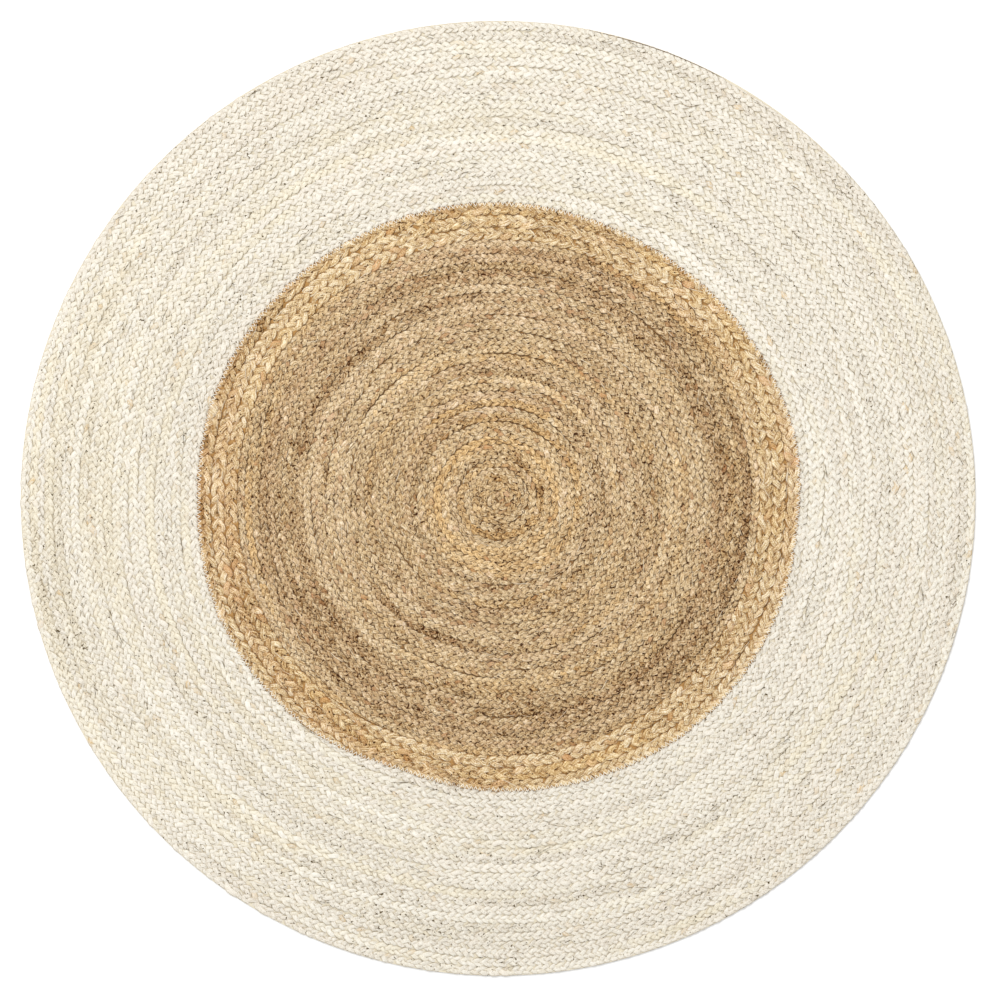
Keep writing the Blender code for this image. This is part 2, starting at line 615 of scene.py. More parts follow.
@dataclass(frozen=True)
class Section:
    """The cross-section of a strand.

    Each corner has its place across and up, as a share of the half width and the half
    thickness, and its share of painted light, from 0 in full painted shade to 1.
    """

    corners: tuple

    def curve(self, half_width: float, half_thickness: float) -> bpy.types.Object:
        """Draw the section as a closed curve that a strand's curve can carry.

        Args:
            half_width: half the strand's width.
            half_thickness: half the strand's thickness.

        Returns:
            The curve's object, which isn't linked to the scene.
        """
        data = bpy.data.curves.new("section", "CURVE")
        data.dimensions = "2D"
        spline = data.splines.new("POLY")
        spline.points.add(len(self.corners) - 1)
        for point, (across, up, _) in zip(spline.points, self.corners):
            point.co = (across * half_width, up * half_thickness, 0.0, 1.0)
        spline.use_cyclic_u = True
        return bpy.data.objects.new("section", data)

    def painted_light_by_corner(self) -> np.ndarray:
        """Tell how much painted light each corner gets, from 0 in painted shade to 1."""
        return np.array([painted_light for _, _, painted_light in self.corners])


# The third number of each corner is its share of painted light: the sides and the underside of a
# strand get painted shade.
FINE_SECTION = Section(
    (
        (-1.0, -0.05, 0.0),
        (-0.72, 0.80, 1.0),
        (0.72, 0.80, 1.0),
        (1.0, -0.05, 0.0),
        (0.0, -1.0, 0.0),
    )
)
BROAD_SECTION = Section(
    (
        (-1.0, -0.05, 0.0),
        (-0.76, 0.66, 1.0),
        (0.0, 1.0, 1.0),
        (0.76, 0.66, 1.0),
        (1.0, -0.05, 0.0),
        (0.55, -0.85, 0.0),
        (-0.55, -0.85, 0.0),
    )
)
FIBRE_SECTION = Section(
    (
        (-1.0, 0.0, 0.9),
        (0.0, 1.0, 0.9),
        (1.0, 0.0, 0.9),
        (0.0, -1.0, 0.5),
    )
)


@dataclass
class StrandRun:
    """The samples along one strand: where it lies, how thick it is and how it is shaded.

    The girth is a share of the full section, and the length is counted from its start.
    """

    angle: np.ndarray
    place: np.ndarray
    girth: np.ndarray
    length: np.ndarray
    tone: np.ndarray
    warmth: np.ndarray
    gold: np.ndarray
    painted_light: np.ndarray

    def part(self, start: float, end: float) -> "StrandRun":
        """Cut out the stretch between two angles.

        Args:
            start, end: angles along the spiral, in radians.

        Returns:
            The stretch, with one more sample at its end so that stretches meet.
        """
        first, last = np.searchsorted(self.angle, (start, end))
        keep = slice(first, min(last + 1, len(self.angle)))
        return StrandRun(*(getattr(self, field.name)[keep] for field in fields(self)))


class Draw(IntEnum):
    """What each of the random numbers of a bump is for."""

    SWING = 0
    GIRTH = 1
    TONE = 2
    WARMTH = 3
    HUE = 4


@dataclass
class BumpSamples:
    """The samples of one strand, and what the braid's middle line has at each of them."""

    phase: np.ndarray
    angle: np.ndarray
    radius: np.ndarray
    width: np.ndarray
    length: np.ndarray
    tone: np.ndarray
    gold: np.ndarray
    draws: np.ndarray


@dataclass(frozen=True)
class Braid:
    """A flat braid of three strands.

    The strand swings across the braid once in a period and over and under twice, so
    each side of the braid shows three leaning bumps to a period. Half its width, the
    reach of its swing and the sides that it stays between are shares of the braid's
    width. It has its samples at the same phases of each half period, in degrees.
    """

    bump_length: float
    middle_height: float
    swing_height: float
    half_width_share: float
    reach: float
    side: float
    half_thickness: float
    section: Section
    half_period_phases: tuple
    crest_delay: float = 0.1
    point: float = 1.2
    # how much painted shade falls on a strand where it dips under
    dip_shade: float = 0.1
    middle_girth: float = 0.95
    swing_girth: float = 0.06
    drift: float = 0.9
    drift_bumps: float = 14.0
    strands: int = 3

    @property
    def period(self) -> float:
        """Give the length in which a strand comes back to the same side."""
        return self.strands * self.bump_length

    def swing(self, phase: np.ndarray) -> np.ndarray:
        """Give how far to its side a strand has swung, from -1 to 1."""
        sine = np.sin(phase)
        return sine / np.sqrt(self.point + (1.0 - self.point) * sine**2)

    def wave(self, phase: np.ndarray) -> np.ndarray:
        """Give how far up a strand has come, from -1 to 1."""
        return np.sin(2.0 * phase - self.crest_delay)


@dataclass(frozen=True)
class Shading:
    """How the yarn of a coil varies in tone and hue, by place, by stretch and by bump.

    A tone of 0.5 is the middle of the palette. The rings have columns radius in metres
    and steps in tone and in gold.
    """

    tone_spread: float
    yarn_spread: float
    rings: tuple = ((0.0, 0.0, 0.0), (1.0, 0.0, 0.0))
    patches: tuple = ()
    braid_spread: float = 0.055
    gold_spread: float = 0.22
    bump_gold: float = 0.4
    dark_liveliness: float = 4.0
    dark_range: float = 0.25
    knot_tone: float = 0.12
    knot_girth: float = 1.6
    streak_length: float = 0.32
    yarn_length: float = 0.1
    warm_length: float = 0.08
    warm_level: float = 1.2
    warm_gain: float = 0.8
    warm_share: float = 0.7
    warmest: float = 0.85

    def by_place(self, angle: np.ndarray, radius: np.ndarray) -> tuple[np.ndarray, np.ndarray]:
        """Shade the yarn by where it lies in the rug, with its rings and patches.

        Args:
            angle: the angle of each sample.
            radius: the radius of each sample.

        Returns:
            The tone and the gold, where 0.5 is the middle of each.
        """
        rings = np.array(self.rings)
        tone = 0.5 + np.interp(radius, rings[:, 0], rings[:, 1])
        gold = 0.5 + np.interp(radius, rings[:, 0], rings[:, 2])
        for patch in self.patches:
            weight = patch.weight(angle, radius)
            tone += patch.tone * weight
            gold += patch.gold * weight
        return tone, gold

    def strand(
        self, rng: np.random.Generator, bumps: BumpSamples, radius: np.ndarray
    ) -> tuple[np.ndarray, np.ndarray]:
        """Shade one strand, with pale knots where it is thickest.

        Args:
            rng: the strand's source of random numbers.
            bumps: the strand's samples.
            radius: the strand's own radius at each sample.

        Returns:
            The tone and the gold.
        """
        tone, gold = self.by_place(bumps.angle, radius)
        darkness = np.clip(0.5 - tone, 0.0, self.dark_range)
        lively = self.tone_spread * (1.0 + self.dark_liveliness * darkness)
        yarn = smooth_noise(rng, bumps.length, self.yarn_length)
        tone += lively * bumps.draws[Draw.TONE] + self.yarn_spread * yarn
        tone += self.braid_spread * bumps.tone
        knot = np.clip(bumps.draws[Draw.GIRTH] - self.knot_girth, 0.0, 1.0)
        tone += self.knot_tone * knot
        own_gold = bumps.gold + self.bump_gold * bumps.draws[Draw.HUE]
        gold += self.gold_spread * own_gold - knot
        return tone, np.clip(gold, 0.0, 1.0)

    def warmth(self, rng: np.random.Generator, bumps: BumpSamples) -> np.ndarray:
        """Redden a few bumps and a few stretches of a strand.

        Args:
            rng: the strand's source of random numbers.
            bumps: the strand's samples.

        Returns:
            The warmth at each sample, from 0 to 1.
        """
        stretch = smooth_noise(rng, bumps.length, self.warm_length)
        bump = self.warm_share * bumps.draws[Draw.WARMTH]
        level = bump + self.warm_share * stretch - self.warm_level
        return np.clip(self.warm_gain * level, 0.0, self.warmest)


@dataclass
class Coil:
    """One flat spiral of braid between two edge lines."""

    name: str
    node: str
    inner: EdgeLine | None
    outer: EdgeLine
    winding: Winding
    braid: Braid
    finish: JuteFinish
    shading: Shading
    parts: int
    seed: int
    unevenness: float = 0.1
    swing_unevenness: float = 0.9
    height_unevenness: float = 0.003
    narrowest: float = 0.12
    sway: float = 0.0026
    slack: float = 0.0011
    slack_length: float = 0.09
    jolt: float = 0.06
    ground_low: float = 0.0022
    ground_high: float = 0.0046
    ground_lap: float = 0.0004
    edge_lap: float = 0.0012
    rim_draw: float = 0.0

    def inner_radius(self, angle: np.ndarray) -> np.ndarray:
        """Give the radius of the coil's inner edge at some angles."""
        return np.zeros_like(angle) if self.inner is None else self.inner.at(angle)

    def pitch(self, angle: np.ndarray) -> np.ndarray:
        """Give the width of a full braid at some angles."""
        return (self.outer.at(angle) - self.inner_radius(angle)) / self.winding.turns

    def half_strand(self) -> float:
        """Give half the width of a strand of the full-width braid.

        Returns:
            The half width, in metres, as a mean of the whole way round.
        """
        middle = round_angles(36)
        band = np.mean(self.outer.at(middle) - self.inner_radius(middle))
        return self.braid.half_width_share * float(band) / self.winding.turns

    def route(self) -> tuple[np.ndarray, np.ndarray, np.ndarray, np.ndarray]:
        """Work out the middle line of the braid along the whole coil.

        Returns:
            The angle, radius, width and length so far, one of each every half degree.
        """
        winding = self.winding
        turn = np.arange(0.0, winding.turns + winding.step_share, 1.0 / STEPS_PER_TURN)
        angle = turn * math.tau + math.radians(winding.start_degrees)
        inner = self.inner_radius(angle)
        pitch = (self.outer.at(angle) - inner) / winding.turns
        low = winding.outer_side(turn - 1.0)
        high = winding.outer_side(turn)
        radius = inner + pitch * (low + high) / 2.0
        width = pitch * (high - low)
        inside = np.clip(np.minimum(winding.turns - high, low) / CALM_BRAIDS, 0.0, 1.0)
        for lobes, shift in SWAY_LOBES:
            phase = lobes * angle + shift + SWAY_TWIST * radius
            radius += inside * self.sway / lobes * np.sin(phase)
        steps = np.hypot(np.diff(radius), radius[1:] * np.diff(angle))
        length = np.concatenate(([0.0], np.cumsum(steps)))
        rng = np.random.default_rng(self.seed + 1)
        radius += inside * self.slack * smooth_noise(rng, length, self.slack_length)
        return angle, radius, width, length

    def phases(self, number: int, length: float) -> tuple[np.ndarray, np.ndarray]:
        """Set out the samples of one strand, a little unevenly.

        Args:
            number: which of the braid's strands it is.
            length: the length of the braid.

        Returns:
            The phase of each sample's swing, and its place along the braid.
        """
        period = self.braid.period
        halves = int(2.0 * length / period)
        phases = np.radians(self.braid.half_period_phases)
        phase = (phases[None, :] + math.pi * np.arange(halves)[:, None]).ravel()
        here = (phase / math.tau - number / self.braid.strands) * period
        jolt = np.random.default_rng((self.seed, number, 1)).standard_normal(halves + 1)
        here += self.jolt * period * np.interp(phase / math.pi, np.arange(halves + 1), jolt)
        return phase, here

    def bump_samples(self, rng: np.random.Generator, number: int) -> BumpSamples:
        """Find what the braid has at each sample of one strand.

        Args:
            rng: the strand's source of random numbers.
            number: which of the braid's strands it is.

        Returns:
            The samples, with their random numbers, which are the same over a bump.
        """
        braid = self.braid
        angle, radius, width, length = self.route()
        shared = np.random.default_rng(self.seed)
        drift = smooth_noise(shared, length, braid.drift_bumps * braid.bump_length)
        tone = smooth_noise(shared, length, self.shading.streak_length)
        gold = smooth_noise(shared, length, self.shading.streak_length)
        along = length + braid.drift * braid.bump_length * (drift - drift[0])
        along = np.maximum.accumulate(along)
        phase, here = self.phases(number, along[-1])
        in_half = len(braid.half_period_phases)
        draws = rng.standard_normal((len(Draw), len(phase) // in_half))
        draws = np.repeat(draws, in_half, axis=1)
        inside = (here > 0.0) & (here < along[-1])
        line = (angle, radius, width, length, tone, gold)
        found = (np.interp(here[inside], along, values) for values in line)
        return BumpSamples(phase[inside], *found, draws[:, inside])

    def swung_radius(self, bumps: BumpSamples) -> np.ndarray:
        """Swing a strand from side to side of its braid.

        Args:
            bumps: the strand's samples.

        Returns:
            Its radius at each sample, which stays inside the coil's outer edge.
        """
        braid = self.braid
        swing = bumps.width * (0.5 * braid.reach - braid.half_width_share)
        uneven = 1.0 + self.swing_unevenness * self.unevenness * bumps.draws[Draw.SWING]
        limit = bumps.width * (0.5 * braid.side - braid.half_width_share)
        across = np.clip(swing * uneven * braid.swing(bumps.phase), -limit, limit)
        margin = self.half_strand() - self.edge_lap
        edge = self.outer.at(bumps.angle) - margin + self.rim_draw
        return np.minimum(bumps.radius + across, edge)

    def strand_run(self, number: int) -> StrandRun:
        """Lay one strand along the spiral.

        Args:
            number: which of the braid's strands it is.

        Returns:
            The strand's samples.
        """
        braid = self.braid
        rng = np.random.default_rng((self.seed, number))
        bumps = self.bump_samples(rng, number)
        full = np.clip(bumps.width / self.pitch(bumps.angle), self.narrowest, 1.0)
        radius = self.swung_radius(bumps)
        wave = braid.wave(bumps.phase)
        thicker = bumps.draws[Draw.GIRTH]
        height = braid.middle_height + braid.swing_height * wave * full
        height += self.height_unevenness * self.unevenness * thicker
        girth = full * (1.0 + self.unevenness * thicker)
        girth *= braid.middle_girth + braid.swing_girth * np.sin(2.0 * bumps.phase)
        tone, gold = self.shading.strand(rng, bumps, radius)
        return StrandRun(
            angle=bumps.angle,
            place=polar_places(bumps.angle, radius, height),
            girth=girth,
            length=bumps.length,
            tone=tone,
            warmth=self.shading.warmth(rng, bumps),
            gold=gold,
            # Painted shade where the strand dips under the others.
            painted_light=np.clip(1.0 + braid.dip_shade * (wave - 1.0), 0.0, 1.0),
        )

    def wind(self) -> list[bpy.types.Object]:
        """Make the coil's strands, in as many pieces as the coil is split into.

        Returns:
            The pieces, from the middle outwards.
        """
        braid = self.braid
        runs = [self.strand_run(number) for number in range(braid.strands)]
        angle, _, _, length = self.route()
        cuts = np.interp(np.linspace(0.0, length[-1], self.parts + 1), length, angle)
        material = self.finish.strand_material()
        pieces = []
        for number, (start, end) in enumerate(zip(cuts, cuts[1:]), start=1):
            name = f"{self.name}_braid_{number}" if self.parts > 1 else f"{self.name}_braid"
            stretch = [run.part(start, end) for run in runs]
            piece = sweep(name, stretch, braid.section, self.half_strand(), braid.half_thickness)
            piece.data.materials.append(material)
            pieces.append(piece)
        return pieces

    def edge_loop(self, mesh: bmesh.types.BMesh, edge: EdgeLine, spread: float) -> None:
        """Draw one edge of the ground, filled where the coil has no inner edge.

        Args:
            mesh: the ground's mesh.
            edge: the edge line.
            spread: how far outside of the line it lies.
        """
        whole = self.inner is None
        made = bmesh.ops.create_circle(mesh, cap_ends=whole, segments=GROUND_STEPS, radius=1.0)
        for vertex in made["verts"]:
            angle = math.atan2(vertex.co.y, vertex.co.x)
            vertex.co *= float(edge.at(np.array(angle))) + spread

    def ground(self) -> bpy.types.Object:
        """Make the thin sheet of packed yarn that lies in the middle of the braids.

        Returns:
            The sheet.
        """
        mesh = bmesh.new()
        if self.inner is not None:
            self.edge_loop(mesh, self.inner, -self.ground_lap)
        self.edge_loop(mesh, self.outer, self.ground_lap)
        if self.inner is not None:
            bmesh.ops.bridge_loops(mesh, edges=mesh.edges[:])
        bmesh.ops.translate(mesh, verts=mesh.verts[:], vec=(0.0, 0.0, self.ground_low))
        raised = bmesh.ops.extrude_face_region(mesh, geom=mesh.faces[:], use_keep_orig=True)
        top = [item for item in raised["geom"] if isinstance(item, bmesh.types.BMVert)]
        bmesh.ops.translate(mesh, verts=top, vec=(0.0, 0.0, self.ground_high - self.ground_low))
        bmesh.ops.recalc_face_normals(mesh, faces=mesh.faces[:])
        data = mesh_data(mesh, self.name + "_ground")
        data.materials.append(self.finish.ground_material())
        return linked(data)

    def flat_size(self) -> tuple[tuple[float, float], float | None]:
        """Give the size that the coil's sheet has when it is laid flat.

        Returns:
            The width and length, and the area where the shape isn't a rectangle. The
            golden band counts as a strip as long as its middle line.
        """
        middle = round_angles(360)
        outer = self.outer.at(middle)
        inner = self.inner_radius(middle)
        area = float(np.mean(outer**2 - inner**2) * math.pi)
        across = 2.0 * float(np.mean(outer))
        is_band = area < 0.3 * across * across
        if is_band:
            width = float(np.mean(outer - inner))
            return (width, area / width), None
        return (across, across), area

    def make(self) -> list[bpy.types.Object]:
        """Make the whole coil, say what it rides on, and hide the frame's part that it stands for.

        Returns:
            The ground first, then the strands.
        """
        strands = self.wind()
        ground = self.ground()
        pieces = [ground, *strands]
        for piece in pieces:
            settle(piece)
            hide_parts(self.node)
        flat, area = self.flat_size()
        return pieces


def mesh_data(mesh: bmesh.types.BMesh, name: str) -> bpy.types.Mesh:
    """Turn a bmesh into a mesh of the scene, and free it.

    Args:
        mesh: the finished bmesh.
        name: the mesh's name.

    Returns:
        The mesh.
    """
    data = bpy.data.meshes.new(name)
    mesh.to_mesh(data)
    mesh.free()
    return data


def linked(data: bpy.types.Mesh) -> bpy.types.Object:
    """Put a mesh into the scene as an object of the same name.

    Args:
        data: the mesh.

    Returns:
        The object, at the origin.
    """
    piece = bpy.data.objects.new(data.name, data)
    bpy.context.scene.collection.objects.link(piece)
    return piece


def settle(piece: bpy.types.Object) -> None:
    """Say what a finished piece rides on, and log its triangles.

    Args:
        piece: the piece.
    """
    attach(piece, BODY)
    triangles = sum(len(face.vertices) - 2 for face in piece.data.polygons)
    log.info("%s: %d triangles", piece.name, triangles)


def add_line(curve: bpy.types.Curve, places: np.ndarray) -> bpy.types.Spline:
    """Draw a line of straight steps into a curve.

    Args:
        curve: the curve.
        places: rows of x, y and z.

    Returns:
        The line.
    """
    line = curve.splines.new("POLY")
    line.points.add(len(places) - 1)
    points = np.concatenate((places, np.ones((len(places), 1))), axis=1)
    line.points.foreach_set("co", points.ravel())
    return line


def mesh_from_curve(curve: bpy.types.Curve) -> bpy.types.Mesh:
    """Turn a bevelled curve into a mesh of the same name, and remove the curve.

    Args:
        curve: the curve.

    Returns:
        The mesh.
    """
    name = curve.name
    carrier = bpy.data.objects.new(name, curve)
    bpy.context.scene.collection.objects.link(carrier)
    graph = bpy.context.evaluated_depsgraph_get()
    data = bpy.data.meshes.new_from_object(carrier.evaluated_get(graph))
    bpy.data.objects.remove(carrier)
    bpy.data.curves.remove(curve)
    data.name = name
    return data


def swept_mesh(name: str, runs: list[StrandRun], outline: bpy.types.Object) -> bpy.types.Mesh:
    """Carry a section along some strands with Blender's own curve bevel.

    Args:
        name: the mesh's name.
        runs: the strands.
        outline: the curve object of the section.

    Returns:
        The mesh, with open ends.
    """
    curve = bpy.data.curves.new(name, "CURVE")
    curve.dimensions = "3D"
    curve.twist_mode = "Z_UP"
    curve.bevel_mode = "OBJECT"
    curve.bevel_object = outline
    curve.use_fill_caps = False
    for run in runs:
        line = add_line(curve, run.place)
        line.points.foreach_set("radius", run.girth)
    return mesh_from_curve(curve)


def map_strands(data: bpy.types.Mesh, runs: list[StrandRun], girth: float) -> None:
    """Lay the map of the strands out in metres, along the yarn and round it.

    Args:
        data: the swept mesh, whose first map runs from 0 to 1 both ways.
        runs: the strands.
        girth: the way round a strand.
    """
    layer = data.uv_layers[0]
    layer.name = "strand"
    places = np.empty(len(data.loops) * 2, np.float32)
    layer.uv.foreach_get("vector", places)
    places = places.reshape(-1, 2)
    sides = len(data.vertices) // sum(len(run.place) for run in runs)
    corners_before = 0
    for number, run in enumerate(runs):
        steps = len(run.place) - 1
        corners = 4 * sides * steps
        rows = slice(corners_before, corners_before + corners)
        index = np.rint(places[rows, 0] * steps).astype(int)
        places[rows, 0] = run.length[np.clip(index, 0, steps)]
        places[rows, 1] = places[rows, 1] * girth + STRAND_SPACING * number
        corners_before += corners
    layer.uv.foreach_set("vector", places.ravel())


def store(data: bpy.types.Mesh, name: str, values: np.ndarray) -> None:
    """Store one number for each vertex, for the material to read.

    Args:
        data: the mesh.
        name: what the numbers are called.
        values: the numbers.
    """
    layer = data.attributes.new(name, "FLOAT", "POINT")
    layer.data.foreach_set("value", values.astype(np.float32))


def store_shades(data: bpy.types.Mesh, runs: list[StrandRun], section: Section) -> None:
    """Store what the strands' material reads.

    Args:
        data: the swept mesh.
        runs: the strands.
        section: the section that was carried along them.
    """
    for name in ("tone", "warmth", "gold"):
        values = np.concatenate([getattr(run, name) for run in runs])
        store(data, name, np.repeat(values, len(section.corners)))
    painted_light = np.concatenate([run.painted_light for run in runs])
    store(data, "depth", np.outer(painted_light, section.painted_light_by_corner()).ravel())


def close_ends(data: bpy.types.Mesh) -> None:
    """Fill the open ends of swept strands.

    Args:
        data: the swept mesh.
    """
    mesh = bmesh.new()
    mesh.from_mesh(data)
    ends = [edge for edge in mesh.edges if edge.is_boundary]
    bmesh.ops.holes_fill(mesh, edges=ends, sides=0)
    mesh.to_mesh(data)
    mesh.free()


def sweep(
    name: str,
    runs: list[StrandRun],
    section: Section,
    half_width: float,
    half_thickness: float,
) -> bpy.types.Object:
    """Make closed strands, with what their material reads.

    Args:
        name: the piece's name.
        runs: the strands.
        section: the strands' section.
        half_width, half_thickness: half the size of a strand.

    Returns:
        The piece.
    """
    outline = section.curve(half_width, half_thickness)
    outline_data = outline.data
    data = swept_mesh(name, runs, outline)
    bpy.data.objects.remove(outline)
    bpy.data.curves.remove(outline_data)
    map_strands(data, runs, WAY_ROUND * half_width)
    store_shades(data, runs, section)
    close_ends(data)
    data.shade_smooth()
    return linked(data)


def fibre_run(
    place: np.ndarray,
    girth: np.ndarray,
    length: np.ndarray,
    tone: float,
    warmth: float = 0.0,
    gold: float = 0.5,
    painted_light: float | np.ndarray = 1.0,
) -> StrandRun:
    """Put the samples of a short fibre together, with one shade all along.

    Args:
        place, girth, length: one of each for each sample.
        tone, warmth, gold: the fibre's shade.
        painted_light: its share of painted light, as one number or one for each sample.

    Returns:
        The fibre's samples.
    """
    count = len(place)
    return StrandRun(
        angle=np.zeros(count),
        place=place,
        girth=girth,
        length=length,
        tone=np.full(count, tone),
        warmth=np.full(count, warmth),
        gold=np.full(count, gold),
        painted_light=np.full(count, painted_light),
    )


def fibre_piece(
    name: str,
    runs: list[StrandRun],
    half_thickness: float,
    material: bpy.types.Material,
) -> bpy.types.Object:
    """Make thin fibres, dress them and say what they ride on.

    Args:
        name: the piece's name.
        runs: the fibres.
        half_thickness: half the thickness of a fibre.
        material: the material of its yarn.

    Returns:
        The fibres, as one piece.
    """
    piece = sweep(name, runs, FIBRE_SECTION, half_thickness, half_thickness)
    piece.data.materials.append(material)
    settle(piece)
    return piece


@dataclass
class LooseFibres:
    """Stray fibres that lie on top of a coil, more or less along its braid."""

    coil: Coil
    count: int
    tones: tuple
    seed: int
    shortest: float = 0.012
    longest: float = 0.034
    half_thickness: float = 0.00045
    height: float = 0.0083
    ripple: float = 0.0003
    end_dip: float = 0.0012
    end_girth: float = 0.45
    girths: tuple[float, float] = (0.6, 1.5)
    warmth: float = 0.8
    warm_share: float = 0.3
    lean_degrees: float = 16.0
    bend: float = 14.0
    edge_share: float = 0.01
    points: int = 5

    def spot(self, rng: np.random.Generator) -> tuple[float, float]:
        """Pick a spot on the coil, as likely in any part of its area.

        Args:
            rng: the source of random numbers.

        Returns:
            The spot's angle and radius.
        """
        angle = rng.uniform(0.0, math.tau)
        low = float(self.coil.inner_radius(np.array([angle]))[0])
        high = float(self.coil.outer.at(np.array(angle)))
        share = rng.uniform(self.edge_share, 1.0 - self.edge_share)
        return angle, math.sqrt((1.0 - share) * low**2 + share * high**2)

    def bent_line(
        self, rng: np.random.Generator, angle: float, radius: float, length: float
    ) -> tuple[np.ndarray, np.ndarray]:
        """Lay a short bent line at a spot on the coil.

        Args:
            rng: the source of its lean and bend.
            angle, radius: the spot.
            length: the line's length.

        Returns:
            Its x and y, one of each for each sample.
        """
        along = np.linspace(-0.5, 0.5, self.points) * length
        lean = math.radians(rng.normal(0.0, self.lean_degrees))
        turn = angle + math.pi / 2.0 + lean + rng.normal(0.0, self.bend) * along
        step = length / (self.points - 1)
        x = np.concatenate(([0.0], np.cumsum(np.cos(turn[1:]) * step)))
        y = np.concatenate(([0.0], np.cumsum(np.sin(turn[1:]) * step)))
        x += radius * math.cos(angle) - x.mean()
        y += radius * math.sin(angle) - y.mean()
        return x, y

    def fibre(self, rng: np.random.Generator) -> StrandRun:
        """Lay one fibre, which is thinner and dips at its ends.

        Args:
            rng: the source of its place, size and shade.

        Returns:
            The fibre's samples.
        """
        angle, radius = self.spot(rng)
        length = rng.uniform(self.shortest, self.longest)
        x, y = self.bent_line(rng, angle, radius, length)
        height = self.height + self.ripple * rng.normal(0.0, 1.0, self.points)
        height[[0, -1]] -= self.end_dip
        girth = np.ones(self.points)
        girth[[0, -1]] = self.end_girth
        girth *= rng.uniform(*self.girths)
        tone = self.tones[rng.integers(len(self.tones))]
        warmth = self.warmth * (rng.random() < self.warm_share)
        place = np.stack((x, y, height), axis=1)
        return fibre_run(place, girth, np.linspace(0.0, length, self.points), tone, warmth)

    def make(self, material: bpy.types.Material) -> bpy.types.Object:
        """Scatter the fibres over the coil.

        Args:
            material: the coil's own yarn material.

        Returns:
            The fibres, as one piece.
        """
        rng = np.random.default_rng(self.seed)
        runs = [self.fibre(rng) for _ in range(self.count)]
        name = f"{self.coil.name}_fibres"
        return fibre_piece(name, runs, self.half_thickness, material)


def surface_height(
    beneath: list[bpy.types.Object], angle: np.ndarray, radius: np.ndarray
) -> np.ndarray:
    """Find how high the rug is at some places.

    Args:
        beneath: the pieces to look for.
        angle, radius: the places.

    Returns:
        The height of the uppermost surface at each place.
    """
    graph = bpy.context.evaluated_depsgraph_get()
    trees = [BVHTree.FromObject(piece, graph) for piece in beneath]
    down = Vector((0.0, 0.0, -1.0))
    heights = []
    for place in polar_places(angle, radius, np.ones(len(angle))):
        hits = [tree.ray_cast(Vector(place), down)[0] for tree in trees]
        heights.append(max((hit.z for hit in hits if hit is not None), default=BARE_HEIGHT))
    return np.array(heights)


@dataclass
class YarnTuft:
    """A flattened tuft of cream yarn that lies on the golden braid by the colour line.

    Its fibres lie side by side over its breadth. The outer ones are shorter and lower,
    and they fan out from one end.
    """

    middle: tuple[float, float] = (-0.5450, 0.1675)
    heading_degrees: float = -47.0
    length: float = 0.019
    breadth: float = 0.017
    fibres: int = 13
    points: int = 9
    half_thickness: float = 0.0010
    height: float = 0.0094
    crown: float = 0.0026
    shorter_sides: float = 0.30
    lower_sides: float = 0.6
    thinner_ends: float = 0.8
    shaded_ends: float = 0.5
    fan: float = 0.25
    stray: float = 0.0006
    lengths: tuple[float, float] = (0.92, 1.06)
    girths: tuple[float, float] = (0.8, 1.2)
    tone: float = 0.80
    tone_spread: float = 0.10
    gold: float = 0.55
    seed: int = 91

    def fibre(self, rng: np.random.Generator, share: float) -> StrandRun:
        """Lay one fibre of the tuft, bent over its crown.

        Args:
            rng: the source of small differences.
            share: where it lies across the tuft, from -1 to 1.

        Returns:
            The fibre's samples.
        """
        along = np.linspace(-1.0, 1.0, self.points)
        length = 0.5 * self.length * (1.0 - self.shorter_sides * share * share)
        length *= rng.uniform(*self.lengths)
        side = 0.5 * self.breadth * share * (1.0 - self.fan * along)
        side += self.stray * along * rng.normal()
        heading = math.radians(self.heading_degrees)
        x = self.middle[0] + length * along * math.cos(heading) - side * math.sin(heading)
        y = self.middle[1] + length * along * math.sin(heading) + side * math.cos(heading)
        crown = self.crown * (1.0 - self.lower_sides * share * share)
        place = np.stack((x, y, self.height + crown * (1.0 - along**2)), axis=1)
        girth = np.sqrt(1.0 - self.thinner_ends * along**2) * rng.uniform(*self.girths)
        tone = self.tone + self.tone_spread * rng.normal()
        # Painted shade at the ends of the tuft's fibres.
        painted_light = 1.0 - self.shaded_ends * along**4
        return fibre_run(place, girth, length * (1.0 + along), tone, 0.0, self.gold, painted_light)

    def make(self, material: bpy.types.Material) -> bpy.types.Object:
        """Lay the tuft.

        Args:
            material: the golden yarn's material.

        Returns:
            The tuft, as one piece.
        """
        rng = np.random.default_rng(self.seed)
        runs = [self.fibre(rng, share) for share in np.linspace(-1.0, 1.0, self.fibres)]
        return fibre_piece("golden_tuft", runs, self.half_thickness, material)


